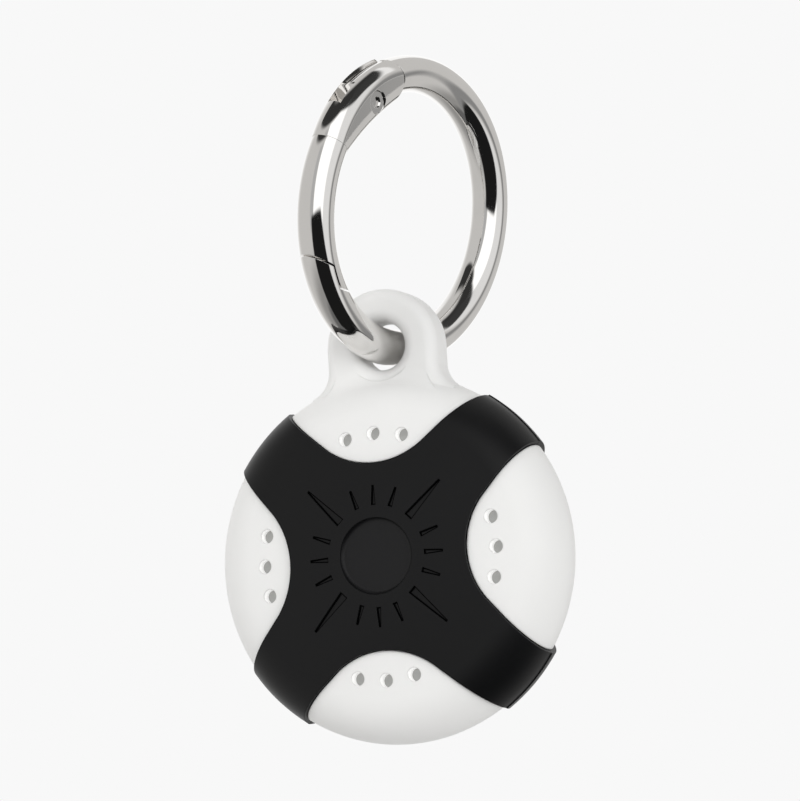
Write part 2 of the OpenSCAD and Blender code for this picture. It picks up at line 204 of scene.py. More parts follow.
class Value:
    """One output socket of a node tree, with Python's operators for its maths."""

    def __init__(self, bench: Bench, socket: bpy.types.NodeSocket) -> None:
        """Keeps the socket and the bench that makes its nodes."""
        self.bench = bench
        self.socket = socket

    def _math(self, operation: str, *others: Value | float) -> Value:
        """Adds one Math node whose first input is this value."""
        inputs = {index: other for index, other in enumerate((self, *others))}
        return self.bench.node("ShaderNodeMath", {"operation": operation}, inputs)

    def __add__(self, other: Value | float) -> Value:
        """Adds two values."""
        return self._math("ADD", other)

    __radd__ = __add__

    def __mul__(self, other: Value | float) -> Value:
        """Multiplies two values."""
        return self._math("MULTIPLY", other)

    __rmul__ = __mul__

    def __sub__(self, other: Value | float) -> Value:
        """Takes the other value from this one."""
        return self._math("SUBTRACT", other)

    def __rsub__(self, other: Value | float) -> Value:
        """Takes this value from the other one."""
        return (self * -1.0)._math("ADD", other)

    def __truediv__(self, other: Value | float) -> Value:
        """Divides this value by the other one."""
        return self._math("DIVIDE", other)

    def __rtruediv__(self, other: Value | float) -> Value:
        """Divides the other value by this one."""
        return self._math("POWER", -1.0) * other

    def root(self) -> Value:
        """Takes the square root."""
        return self._math("SQRT")

    def size(self) -> Value:
        """Takes the value without its sign."""
        return self._math("ABSOLUTE")

    def sine(self) -> Value:
        """Takes the sine of an angle in radians."""
        return self._math("SINE")

    def floor(self) -> Value:
        """Takes the whole number below."""
        return self._math("FLOOR")

    def arcsine(self) -> Value:
        """Takes the arcsine, in radians."""
        return self._math("ARCSINE")

    def whole(self) -> Value:
        """Takes the nearest whole number."""
        return self._math("ROUND")

    def turn(self, other: Value | float) -> Value:
        """Takes the angle of the point (other, this), in radians."""
        return self._math("ARCTAN2", other)

    def top(self, other: Value | float) -> Value:
        """Takes the larger of two values."""
        return self._math("MAXIMUM", other)

    def low(self, other: Value | float) -> Value:
        """Takes the smaller of two values."""
        return self._math("MINIMUM", other)

    def ramp(self, start: float, end: float) -> Value:
        """Rises smoothly from 0 at the start to 1 at the end."""
        settings = {"interpolation_type": "SMOOTHSTEP"}
        return self.bench.node("ShaderNodeMapRange", settings, {0: self, 1: start, 2: end})


@dataclass(frozen=True)
class Grain:
    """One noise pattern.

    Attributes:
        scale: The pattern's scale, per metre.
        detail: The number of octaves.
        roughness: How strong the fine octaves are.
    """

    scale: float
    detail: float = 2.0
    roughness: float = 0.5


@dataclass(frozen=True)
class Patches:
    """Soft patches in which a finish changes its tone and its gloss.

    Attributes:
        grain: The pattern of the patches.
        start: Value of the pattern where the other tone starts.
        end: Value where it is full.
        share: Strength of the other tone.
        tone: The other tone, as a multiple of the main colour.
        swing: Change of the roughness over the pattern.
        drop: Roughness that is taken off at the pattern's zero.
    """

    grain: Grain
    start: float
    end: float
    share: float
    tone: float
    swing: float
    drop: float


@dataclass(frozen=True)
class Relief:
    """A fine relief.

    Attributes:
        grain: The pattern of the relief.
        strength: Strength of the bump.
        height: Height of the pattern, in metres.
    """

    grain: Grain
    strength: float
    height: float


class Bench:
    """Builds the nodes of one material or world."""

    def __init__(self, tree: bpy.types.NodeTree) -> None:
        """Keeps the tree and empties it."""
        self.tree = tree
        tree.nodes.clear()

    def node(
        self,
        kind: str,
        settings: dict[str, object] | None = None,
        inputs: Inputs | None = None,
        output: int | str = 0,
    ) -> Value:
        """Adds a node, sets it up and links it.

        Args:
            kind: The node's type.
            settings: Properties of the node, which are set first.
            inputs: Values or links, by socket name or number.
            output: The output that the result stands for.

        Returns:
            The chosen output.
        """
        made = self.tree.nodes.new(kind)
        for name, value in (settings or {}).items():
            setattr(made, name, value)
        for key, value in (inputs or {}).items():
            if isinstance(value, Value):
                self.tree.links.new(value.socket, made.inputs[key])
            else:
                made.inputs[key].default_value = value
        socket = made.outputs[output] if len(made.outputs) else None
        return Value(self, socket)

    def noise(self, grain: Grain) -> Value:
        """Adds a noise texture on the object's own coordinates.

        Args:
            grain: The pattern.

        Returns:
            The noise, from 0 to 1.
        """
        inputs = {
            "Vector": self.node("ShaderNodeTexCoord", output="Object"),
            "Scale": grain.scale,
            "Detail": grain.detail,
            "Roughness": grain.roughness,
        }
        return self.node("ShaderNodeTexNoise", {"noise_dimensions": "3D"}, inputs, "Fac")

    def place(self) -> tuple[Value, Value, Value]:
        """Reads the X, Y and Z of the point on the object, in its own coordinates."""
        return self.parts(self.node("ShaderNodeTexCoord", output="Object"))

    def parts(self, vector: Value) -> tuple[Value, Value, Value]:
        """Splits a vector into its X, Y and Z."""
        split = self.node("ShaderNodeSeparateXYZ", inputs={0: vector}).socket.node
        return tuple(Value(self, output) for output in split.outputs)

    def between(self, value: Value, low: float, high: float, soft: float) -> Value:
        """Gives 1 inside a range and 0 outside it, with soft ends.

        Args:
            value: The value to test.
            low: The range's start.
            high: The range's end.
            soft: Half the width of each soft end.

        Returns:
            The window.
        """
        rise = value.ramp(low - soft, low + soft)
        fall = value.ramp(high - soft, high + soft)
        return rise * (1.0 - fall)

    def mix(self, factor: Value | float, first: Value | Rgba, second: Value | Rgba) -> Value:
        """Mixes two colours, where the factor is the share of the second one."""
        inputs = {0: factor, 6: first, 7: second}
        return self.node("ShaderNodeMix", {"data_type": "RGBA"}, inputs, 2)

    def camera_ray(self) -> Value:
        """Gives 1 for the rays that come straight from the camera."""
        return self.node("ShaderNodeLightPath", output="Is Camera Ray")

    def soft_edges(self, radius: float) -> Value:
        """Gives normals that are rounded over the sharp edges, with a radius in metres."""
        return self.node("ShaderNodeBevel", {"samples": BEVEL_SAMPLES}, {"Radius": radius})

    def bump(
        self, height: Value, strength: float, distance: float, normal: Value | None = None
    ) -> Value:
        """Adds a bump.

        Args:
            height: The height pattern.
            strength: The strength of the bump.
            distance: The height of the pattern, in metres.
            normal: The normal that the bump starts from.

        Returns:
            The bumped normal.
        """
        inputs = {"Strength": strength, "Distance": distance, "Height": height}
        if normal is not None:
            inputs["Normal"] = normal
        return self.node("ShaderNodeBump", inputs=inputs)


@dataclass(frozen=True)
class Finish:
    """A finish with the sockets that all finishes share.

    Attributes:
        name: Name of the material.
        colour: Main colour, linear.
        roughness: Mean roughness.
        edge: Radius of the soft edges, in metres.
    """

    name: str
    colour: Colour
    roughness: float
    edge: float = 0.0

    def start(self) -> tuple[bpy.types.Material, Bench]:
        """Makes the empty material.

        Returns:
            The material and the bench for its nodes.
        """
        material = bpy.data.materials.new(self.name)
        material.use_nodes = True
        return material, Bench(material.node_tree)

    def tinted(self, tone: float = 1.0) -> Rgba:
        """Gives the main colour times a tone, with full alpha."""
        return (*(tone * part for part in self.colour), 1.0)

    def coat(self, bench: Bench, patches: Patches, relief: Relief) -> Inputs:
        """Builds what the moulded and the plated finishes have in common.

        Args:
            bench: The bench of the material.
            patches: The patches of another tone and gloss.
            relief: The fine relief, on top of the soft edges.

        Returns:
            The shader's colour, roughness and normal.
        """
        cloud = bench.noise(patches.grain)
        share = cloud.ramp(patches.start, patches.end) * patches.share
        fine = bench.noise(relief.grain)
        edges = bench.soft_edges(self.edge)
        return {
            "Base Color": bench.mix(share, self.tinted(), self.tinted(patches.tone)),
            "Roughness": cloud * patches.swing + (self.roughness - patches.drop),
            "Normal": bench.bump(fine, relief.strength, relief.height, edges),
        }

    def inputs(self, bench: Bench) -> Inputs:
        """Gives the surface shader's values and links: a plain colour and roughness."""
        return {"Base Color": self.tinted(), "Roughness": self.roughness}

    def material(self) -> bpy.types.Material:
        """Builds the material.

        Returns:
            The finished material.
        """
        material, bench = self.start()
        shader = bench.node("ShaderNodeBsdfPrincipled", inputs=self.inputs(bench))
        bench.node("ShaderNodeOutputMaterial", inputs={"Surface": shader})
        return material


@dataclass(frozen=True)
class SoftShell(Finish):
    """Pale, soft-touch moulded shell: matt, with a very fine grain, and a little translucent, which
    is painted as a glow on the sound holes' walls.

    Attributes:
        patches: Faint patches of the moulding.
        relief: The grain.
        holes_r: Distance of the sound holes from the axis.
        hole_r: Radius of each sound hole.
        hole_step: Angle between neighbouring holes, in degrees.
        rim: Distance past a hole's wall over which its glow ends, start and end.
        wall_in: Distance from the middle at which the glow starts.
        wall_soft: Length over which it starts.
        wall_out: Distance of the crowned outer face from the middle, on the axis.
        mouth: Depths below that face over which the glow ends, start and end.
        crown_r: Radius of the crown.
        painted_soak_glow: Tone of the painted glow on the holes' walls, standing in for the light
            that soaks through the wall into the holes.
        shade: Share of it that the holes in the back lose, away from the light.
    """

    patches: Patches = Patches(Grain(60.0, 3.0), 0.35, 0.7, 0.6, 0.975, 0.06, 0.03)
    relief: Relief = Relief(Grain(5200.0), 0.06, 0.00004)
    holes_r: float = HOLES_R
    hole_r: float = 0.725 * MM
    hole_step: float = HOLE_STEP
    rim: tuple[float, float] = (0.02 * MM, 0.06 * MM)
    wall_in: float = 4.05 * MM
    wall_soft: float = 0.08 * MM
    wall_out: float = 6.17 * MM
    mouth: tuple[float, float] = (0.16 * MM, 0.05 * MM)
    crown_r: float = CROWN_R
    painted_soak_glow: float = 0.27
    shade: float = 0.75

    def inputs(self, bench: Bench) -> Inputs:
        """Adds the painted glow on the holes' walls to the coat.

        Args:
            bench: The bench of the material.

        Returns:
            The surface shader's values and links.
        """
        coat = self.coat(bench, self.patches, self.relief)
        # Painted light: the holes' walls glow, in place of the light that soaks through the thin
        # shell.
        glow = bench.mix(self.hole_glow_mask(bench), grey(0.0), grey(self.painted_soak_glow))
        return {**coat, "Emission Color": glow, "Emission Strength": 1.0}

    def hole_glow_mask(self, bench: Bench) -> Value:
        """Finds the walls of the sound holes, which carry the painted glow.

        Args:
            bench: The bench of the material.

        Returns:
            1 on the holes' walls in the front, less in the back, and 0 elsewhere.
        """
        across, deep, up = bench.place()
        distance = (across * across + up * up).root()
        turn = across.turn(up) * math.degrees(1.0)
        turn = turn - (turn / QUARTER_TURN).whole() * QUARTER_TURN
        hole = (turn / self.hole_step).whole().top(-1.0).low(1.0) * self.hole_step
        aside = (turn - hole) * math.radians(1.0) * distance
        out = distance - self.holes_r
        reach = (aside * aside + out * out).root()
        near, far = (self.hole_r + part for part in self.rim)
        inside = 1.0 - reach.ramp(near, far)
        inside = inside * deep.size().ramp(self.wall_in, self.wall_in + self.wall_soft)
        level = deep.size() + distance * distance / (2.0 * self.crown_r)
        low, high = (self.wall_out - part for part in self.mouth)
        inside = inside * (1.0 - level.ramp(low, high))
        return inside * (1.0 - deep.ramp(-self.wall_in, self.wall_in) * self.shade)


@dataclass(frozen=True)
class SatinCover(Finish):
    """Dark satin plastic with a spark-eroded grain and slightly polished edges.

    Attributes:
        patches: Faint patches of the moulding.
        relief: The grain.
        shine: The shader's specular level.
        dimple_r: Radius of the dimple's floor, which is a little lighter.
        dimple_rim: Distances past that radius over which the lighter tone ends.
        dimple_y: Y that the dimple's floor lies in front of.
        dimple_soft: Depth over which the lighter tone starts.
        dimple_colour: Colour of the dimple's floor.
    """

    patches: Patches = Patches(Grain(45.0, 3.0), 0.4, 0.75, 0.5, 1.5, 0.08, 0.04)
    relief: Relief = Relief(Grain(9000.0, 3.0, 0.6), 0.12, 0.00003)
    shine: float = 0.26
    dimple_r: float = 3.75 * MM
    dimple_rim: tuple[float, float] = (-0.1 * MM, 0.15 * MM)
    dimple_y: float = -5.9 * MM
    dimple_soft: float = 0.02 * MM
    dimple_colour: Rgba = (0.0085, 0.0085, 0.0092, 1.0)

    def inputs(self, bench: Bench) -> Inputs:
        """Adds the dimple's lighter floor to the coat.

        Args:
            bench: The bench of the material.

        Returns:
            The surface shader's values and links.
        """
        coat = self.coat(bench, self.patches, self.relief)
        across, deep, up = bench.place()
        distance = (across * across + up * up).root()
        near, far = (self.dimple_r + part for part in self.dimple_rim)
        depth = (self.dimple_y - deep).ramp(0.0, self.dimple_soft)
        floor = (1.0 - distance.ramp(near, far)) * depth
        colour = bench.mix(floor, coat["Base Color"], self.dimple_colour)
        return {**coat, "Base Color": colour, "Specular IOR Level": self.shine}


@dataclass(frozen=True)
class PlatedMetal(Finish):
    """Polished plated metal with faint waves and fine wear.

    Attributes:
        patches: The wear.
        relief: The waves.
    """

    patches: Patches = Patches(Grain(160.0, 4.0, 0.6), 0.45, 0.7, 0.5, 0.93, 0.05, 0.02)
    relief: Relief = Relief(Grain(220.0, 1.0), 0.05, 0.00002)

    def inputs(self, bench: Bench) -> Inputs:
        """Makes the coat metallic."""
        return {**self.coat(bench, self.patches, self.relief), "Metallic": 1.0}


@dataclass(frozen=True)
class Gauze(Finish):
    """Fine pale gauze in the sound holes, with its weave as a bump.

    Attributes:
        pitch: Distance between threads, in metres.
        dull: Tone of the gaps, as a multiple of the main colour.
        strength: Strength of the bump.
        height: Height of the threads, in metres.
    """

    pitch: float = 0.00018
    dull: float = 0.8
    strength: float = 0.2
    height: float = 0.00002

    def inputs(self, bench: Bench) -> Inputs:
        """Weaves the threads.

        Args:
            bench: The bench of the material.

        Returns:
            The surface shader's values and links.
        """
        across, _, along = bench.place()
        turns = math.tau / self.pitch
        weave = (across * turns).sine() * (along * turns).sine() * 0.5 + 0.5
        colour = bench.mix(weave, self.tinted(self.dull), self.tinted())
        normal = bench.bump(weave, self.strength, self.height)
        return {"Base Color": colour, "Roughness": self.roughness, "Normal": normal}


@dataclass(frozen=True)
class ShadowLine(Finish):
    """Painted shade: black lining of the fine grooves round the marks, without shine.

    Attributes:
        grain: The pattern of its tone.
        light: Its lightest tone, as a multiple of the main colour.
    """

    grain: Grain = Grain(4000.0)
    light: float = 1.6

    def inputs(self, bench: Bench) -> Inputs:
        """Speckles the black, and takes its shine away."""
        colour = bench.mix(bench.noise(self.grain), self.tinted(), self.tinted(self.light))
        return {"Base Color": colour, "Roughness": self.roughness, "Specular IOR Level": 0.0}


@dataclass
class QuarterRepeat:
    """Geometry Nodes that repeat one form round the holder's axis, in each quarter.

    Attributes:
        name: Name of the piece.
        per_quarter: How many of them stand in each quarter.
        step: Angle between neighbours, in degrees.
        start: Angle of the first quarter's middle, in degrees.
    """

    name: str
    per_quarter: int
    step: float
    start: float = 0.0

    INPUTS = (
        ("Form", "NodeSocketObject"),
        ("Per Quarter", "NodeSocketInt"),
        ("Step", "NodeSocketFloat"),
        ("Start", "NodeSocketFloat"),
        ("Finish", "NodeSocketMaterial"),
    )

    def group(self) -> bpy.types.NodeTree:
        """Builds the node group.

        Returns:
            The group, with its named inputs.
        """
        tree = bpy.data.node_groups.new(self.name, "GeometryNodeTree")
        bench = Bench(tree)
        for name, kind in self.INPUTS:
            tree.interface.new_socket(name, in_out="INPUT", socket_type=kind)
        tree.interface.new_socket("Geometry", in_out="OUTPUT", socket_type="NodeSocketGeometry")
        given = bench.node("NodeGroupInput").socket.node
        sockets = (Value(bench, given.outputs[name]) for name, _ in self.INPUTS)
        form, count, step, start, finish = sockets
        index = bench.node("GeometryNodeInputIndex")
        quarter = (index / count).floor()
        place = index - quarter * count - (count - 1.0) / 2.0
        angle = (quarter * QUARTER_TURN + place * step + start) * math.radians(1.0)
        turn = bench.node("ShaderNodeCombineXYZ", inputs={1: angle})
        inputs = {"Count": count * float(QUARTERS), "Offset": (0.0, 0.0, 0.0)}
        points = bench.node("GeometryNodeMeshLine", inputs=inputs)
        shape = bench.node("GeometryNodeObjectInfo", inputs={"Object": form}, output="Geometry")
        inputs = {"Points": points, "Instance": shape, "Rotation": turn}
        spread = bench.node("GeometryNodeInstanceOnPoints", inputs=inputs)
        solid = bench.node("GeometryNodeRealizeInstances", inputs={0: spread})
        inputs = {"Geometry": solid, "Material": finish}
        coated = bench.node("GeometryNodeSetMaterial", inputs=inputs)
        bench.node("NodeGroupOutput", inputs={0: coated})
        return tree

    def build(
        self, form: bpy.types.Mesh, finish: bpy.types.Material, body: Body, slot: Slot
    ) -> None:
        """Makes the repeated piece.

        Args:
            form: The form that is repeated, in its place at the top.
            finish: The material.
            body: The body that the piece rides on.
            slot: The record's material slot; not used.
        """
        source = placed(self.name + "_form", form)
        carrier = placed(self.name + "_carrier", bpy.data.meshes.new(self.name + "_carrier"))
        tree = self.group()
        given = (source, self.per_quarter, self.step, self.start, finish)
        values = {name: value for (name, _), value in zip(self.INPUTS, given)}
        modifier = carrier.modifiers.new("repeat", "NODES")
        modifier.node_group = tree
        for item in tree.interface.items_tree:
            if item.in_out == "INPUT":
                modifier[item.identifier] = values[item.name]
        bpy.context.view_layer.update()
        seen = carrier.evaluated_get(bpy.context.evaluated_depsgraph_get())
        mesh = bpy.data.meshes.new_from_object(seen)
        mesh.name = self.name
        carrier.modifiers.clear()
        for spare in (source, carrier):
            bpy.data.objects.remove(spare, do_unlink=True)
        piece = placed(self.name, mesh)
        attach(piece, body.value)
        LOG.info("%s rides on %s", piece.name, body.value)


def extruded(
    name: str,
    rings: list[list[tuple[float, float]]],
    height: Callable[[float], float],
    thick: float,
) -> bpy.types.Mesh:
    """Makes a thin closed sheet between two outlines, that follows a crowned face.

    Args:
        name: Name of the mesh.
        rings: One outline, or an outer and an inner one with as many corners, as (X, Z).
        height: Gives the Y of the front side at a distance from the axis.
        thick: Thickness towards +Y.

    Returns:
        The mesh, with its faces outward.
    """
    made = bmesh.new()

    def corner(point: tuple[float, float], deep: float) -> bmesh.types.BMVert:
        """Adds one corner on the front side or the back side."""
        across, up = point
        return made.verts.new((across, height(math.hypot(across, up)) + deep, up))

    fronts = [[corner(point, 0.0) for point in ring] for ring in rings]
    backs = [[corner(point, thick) for point in ring] for ring in rings]
    count = len(rings[0])
    for index in range(count):
        after = (index + 1) % count
        for side, (front, back) in enumerate(zip(fronts, backs)):
            wall = [front[index], front[after], back[after], back[index]]
            made.faces.new(wall if side else wall[::-1])
        if len(rings) > 1:
            for sheets, flip in ((fronts, False), (backs, True)):
                outer, inner = sheets
                face = [outer[index], outer[after], inner[after], inner[index]]
                made.faces.new(face[::-1] if flip else face)
    if len(rings) == 1:
        made.faces.new(fronts[0])
        made.faces.new(backs[0][::-1])
    bmesh.ops.recalc_face_normals(made, faces=made.faces)
    mesh = bpy.data.meshes.new(name)
    made.to_mesh(mesh)
    made.free()
    return mesh


@dataclass
class MouldedShell:
    """Pale shell and lid, with the gauze in their sound holes.

    Attributes:
        perf_r: Distance of the sound holes from the axis.
        perf_step: Angle between neighbouring holes, in degrees.
        per_quarter: Number of holes in each quarter.
        gauze_y: Distance of the gauze's inner side from the middle, just clear of the tag.
        gauze_r: Radius of each round of gauze, which reaches into the hole's wall.
        gauze_thick: Thickness of the gauze.
        corners: Number of corners of each round.
    """

    perf_r: float = HOLES_R
    perf_step: float = HOLE_STEP
    per_quarter: int = 3
    gauze_y: float = 4.08 * MM
    gauze_r: float = 0.745 * MM
    gauze_thick: float = 0.05 * MM
    corners: int = 32

    def round_outline(self) -> list[tuple[float, float]]:
        """Gives the outline of one round of gauze, at the top of the holder.

        Returns:
            The corners, as (X, Z).
        """
        size = self.gauze_r
        turns = [math.tau * index / self.corners for index in range(self.corners)]
        return [(size * math.sin(turn), self.perf_r + size * math.cos(turn)) for turn in turns]

    def build(self, nodes: dict[str, bpy.types.Object]) -> None:
        """Dresses the shell and the lid, and adds the gauze.

        Args:
            nodes: The CAD nodes.
        """
        shell = SoftShell("pale_shell", (0.85, 0.85, 0.84), 0.5, 0.25 * MM).material()
        gauze = Gauze("sound_gauze", (0.46, 0.46, 0.45), 0.85).material()
        dress(nodes["holder_shell"], shell)
        crowned_copy(nodes["rear_lid"], Body.LID, shell)
        rounds = (
            ("gauze_front", -self.gauze_y - self.gauze_thick, Body.HOLDER),
            ("gauze_rear", self.gauze_y, Body.LID),
        )
        for name, start, body in rounds:
            outline = [self.round_outline()]
            form = extruded(name, outline, lambda _, y=start: y, self.gauze_thick)
            repeat = QuarterRepeat(name, self.per_quarter, self.perf_step)
            repeat.build(form, gauze, body, Slot.PALE_SHELL)


@dataclass
class CrossCovers:
    """Both dark covers, with painted shade lining the fine grooves round the front cover's marks.

    Attributes:
        face_y: Y of the front cover's face on the axis.
        crown_r: Radius of the face's crown.
        mark_deep: Depth of the marks.
        line_w: Width of the grooves, and of the painted shade that lines them.
        line_thick: Height of the painted shade lining above the marks' floors.
        mark_r: Distance of the marks' inner ends from the axis.
        tip_w: Width of the marks at their outer ends.
        short: Width at the inner end and length of the short marks.
        long: Width at the inner end and length of the long marks.
        step: Angle between neighbouring short marks, in degrees.
        parts: Number of stretches along each side of a mark.
        lap: Reach of the lining into the mark's wall and floor.
        least: Half the lining's least width.
    """

    face_y: float = -6.57 * MM
    crown_r: float = CROWN_R
    mark_deep: float = 0.25 * MM
    line_w: float = 0.13 * MM
    line_thick: float = 0.17 * MM
    mark_r: float = 5.35 * MM
    tip_w: float = 0.28 * MM
    short: tuple[float, float] = (0.55 * MM, 2.1 * MM)
    long: tuple[float, float] = (1.0 * MM, 5.1 * MM)
    step: float = 20.0
    parts: int = 8
    lap: float = 0.01 * MM
    least: float = 0.004 * MM

    def height(self, distance: float) -> float:
        """Gives the Y of the lining's front side at a distance from the axis."""
        face = self.face_y + self.crown_r - math.sqrt(self.crown_r**2 - distance**2)
        return face + self.mark_deep - self.line_thick

    def wedge(self, width: float, length: float, inset: float) -> list[tuple[float, float]]:
        """Gives the outline of a mark at the top of the dial.

        Args:
            width: Width of the mark at its inner end.
            length: Length of the mark.
            inset: Distance of the outline from the mark's walls.

        Returns:
            The corners, as (X, Z).
        """
        near, away = width / 2, self.tip_w / 2
        lean = (near - away) / length
        sides = []
        for index in range(self.parts + 1):
            up = inset + (length - 2 * inset) * index / self.parts
            half = near - lean * up - inset * math.hypot(1.0, lean)
            sides.append((max(half, self.least), self.mark_r + up))
        return [(-half, up) for half, up in sides] + [(half, up) for half, up in reversed(sides)]

    def build(self, nodes: dict[str, bpy.types.Object]) -> None:
        """Dresses the covers and adds the painted shade that lines the grooves.

        Args:
            nodes: The CAD nodes.
        """
        cover = SatinCover("dark_cover", (0.0035, 0.0036, 0.004), 0.42, 0.12 * MM).material()
        # Painted shade: a black sheet along the marks' walls stands for the shade in their fine
        # grooves.
        shade = ShadowLine("groove_shadow", (0.0012, 0.0012, 0.0013), 0.9).material()
        dress(nodes["front_cross"], cover)
        crowned_copy(nodes["rear_cross"], Body.REAR_COVER, cover)
        kinds = (("marks_short", self.short, 3, 0.0), ("marks_long", self.long, 1, QUARTER_TURN / 2))
        for name, (width, length), count, start in kinds:
            outer = self.wedge(width, length, -self.lap)
            inner = self.wedge(width, length, self.line_w)
            form = extruded(name, [outer, inner], self.height, self.line_thick + self.lap)
            repeat = QuarterRepeat(name, count, self.step, start)
            repeat.build(form, shade, Body.HOLDER, Slot.DARK_COVER)


@dataclass
class RingFrame:
    """Place and round forms of the split ring, as the CAD has them.

    Attributes:
        hole_z: Height of the tab's hole.
        turn: Turn of the ring about the upright, in degrees.
        lean: Lean of the ring to the right, in degrees.
        dip: Dip of the ring about its rod, in degrees.
        rod_r: Radius of the rod.
        ring_r: Radius of the rod's centre line.
        pivot_angle: Angle of the pivot from the top, in degrees.
        swell_turn: Angle that the swelling turns through, in degrees.
        swell_step: Height of the swelling's end.
        swell_h: Height of the swelling outwards.
        belly_h: Height of the swelling inwards.
    """

    hole_z: float = 22.595449 * MM
    turn: float = 17.5
    lean: float = 11.0
    dip: float = 2.9
    rod_r: float = 1.95 * MM
    ring_r: float = 14.55 * MM
    pivot_angle: float = 41.0
    swell_turn: float = 28.0
    swell_step: float = 0.03 * MM
    swell_h: float = 0.5 * MM
    belly_h: float = 1.0 * MM

    def matrix(self) -> Matrix:
        """Gives the turn and place of the ring's plane: X along its axis, Z up.

        Returns:
            The matrix from the ring's coordinates to the row's.
        """
        place = Matrix.Translation((0.0, 0.0, self.hole_z))
        for angle, axis in ((-self.turn, "Z"), (self.lean, "Y"), (-self.dip, "X")):
            place = place @ Matrix.Rotation(math.radians(angle), 4, axis)
        return place @ Matrix.Translation((0.0, 0.0, self.ring_r))

    def pivot_ways(self) -> tuple[Vector, Vector]:
        """Gives the directions at the pivot, in the ring's own coordinates.

        Returns:
            The way from the ring's middle to the pivot, and the way along the rod.
        """
        angle = math.radians(self.pivot_angle)
        side, rise = math.sin(angle), math.cos(angle)
        return Vector((0.0, -side, rise)), Vector((0.0, rise, side))

    def bend(self, height: float, step: float) -> float:
        """Gives the shift of a bend towards the pivot, from its height there and at its end."""
        top, end = self.ring_r + height, self.ring_r + step
        return (top**2 - end**2) / (2 * (top - end * math.cos(math.radians(self.swell_turn))))

    def rods(self) -> list[tuple[float, float, float]]:
        """Gives the ring's bent rods.

        Returns:
            Shift towards the pivot, radius of the bend and radius of the rod, for each.
        """
        thick = self.rod_r + self.swell_step
        swell = self.bend(self.swell_h, self.swell_step)
        belly = self.bend(-self.belly_h, -self.swell_step)
        return [
            (0.0, self.ring_r, self.rod_r),
            (swell, self.ring_r + self.swell_h - swell, thick),
            (belly, self.ring_r - self.belly_h - belly, thick),
        ]


@dataclass
class SpringGateRing:
    """Polished ring with its gate, rivet, spring and plunger.

    Attributes:
        frame: Place and forms of the ring.
        polished: The plated nodes that are shown as smooth copies, with their bodies and slots.
        crease: Angle over which an edge stays sharp, in degrees.
        near: Distance under which a corner counts as on a rod.
        flat: Cosine over which a face counts as one of the flat cheeks.
        follow: Cosine over which a face counts as following its rod.
        spring_out: Distance of the spring's axis from the ring's middle; not used.
        spring_back: Distance of the spring's fixed end behind the pivot; not used.
        spring_keep: Share of its length that the spring keeps when the gate is open; not used.
    """

    frame: RingFrame = field(default_factory=RingFrame)
    polished: tuple[tuple[str, Body, Slot], ...] = (
        ("ring_body", Body.RING, Slot.PLATED_METAL),
        ("ring_gate", Body.GATE, Slot.PLATED_METAL),
        ("hinge_rivet", Body.GATE, Slot.RIVET_METAL),
    )
    crease: float = 28.0
    near: float = 0.012 * MM
    flat: float = 0.9999
    follow: float = 0.93
    spring_out: float = 13.1 * MM
    spring_back: float = 8.4 * MM
    spring_keep: float = 0.9

    def rod_normals(self, mesh: bpy.types.Mesh) -> None:
        """Gives the bent rods and the flat cheeks their true normals, as polished metal needs.

        Args:
            mesh: The mesh, smooth with its sharp edges marked.
        """
        place = self.frame.matrix()
        back = place.inverted()
        axis = place.to_3x3() @ Vector((1.0, 0.0, 0.0))
        aim, _ = self.frame.pivot_ways()
        points = [back @ vertex.co for vertex in mesh.vertices]
        ways = []
        for shift, bend, thick in self.frame.rods():
            found = []
            for point in points:
                flat = point - aim * shift
                ring = Vector((0.0, flat.y, flat.z)).normalized() * bend
                out = flat - ring
                on_rod = abs(out.length - thick) < self.near
                found.append(place.to_3x3() @ out.normalized() if on_rod else None)
            ways.append(found)
        normals = [Vector(item.vector) for item in mesh.corner_normals]
        for face in mesh.polygons:
            if abs(face.normal.dot(axis)) > self.flat:
                for loop in face.loop_indices:
                    normals[loop] = face.normal.copy()
                continue
            for found in ways:
                own = [found[index] for index in face.vertices]
                if all(way is not None and way.dot(face.normal) > self.follow for way in own):
                    for loop, way in zip(face.loop_indices, own):
                        normals[loop] = way
                    break
        mesh.normals_split_custom_set([tuple(way) for way in normals])

    def smooth_copy(
        self, node: bpy.types.Object, body: Body, finish: bpy.types.Material
    ) -> bpy.types.Object:
        """Shows a smooth copy of a node in its place.

        Args:
            node: The CAD node.
            body: The node's body.
            finish: The material.

        Returns:
            The copy.
        """
        mesh = merged_mesh(node, node.name + "_polished", finish)
        mesh.attributes.remove(mesh.attributes[WAYS])
        mesh.shade_smooth()
        mesh.set_sharp_from_angle(angle=math.radians(self.crease))
        self.rod_normals(mesh)
        return stand_in(mesh, node, body)

    def build(self, nodes: dict[str, bpy.types.Object]) -> None:
        """Dresses the ring's pieces.

        Args:
            nodes: The CAD nodes.
        """
        plated = PlatedMetal("plated_metal", (0.80, 0.787, 0.77), 0.055, 0.04 * MM).material()
        steel = PlatedMetal("spring_steel", (0.62, 0.62, 0.63), 0.16, 0.01 * MM).material()
        for name, body, slot in self.polished:
            self.smooth_copy(nodes[name], body, plated)
        spring = self.smooth_copy(nodes["gate_spring"], Body.GATE, steel)
        place = self.frame.matrix()
        aim, along = self.frame.pivot_ways()
        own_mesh(spring)
        dress(nodes["spring_plunger"], plated)


@dataclass(frozen=True)
class Panel:
    """A pale or dark panel on the wall of the room.

    Attributes:
        turns: Degrees of its two sides from the front towards +X, and their softness.
        rises: Degrees of its foot and head above the horizon, and their softness.
        tone: Its tone.
    """

    turns: tuple[float, float, float]
    rises: tuple[float, float, float]
    tone: float


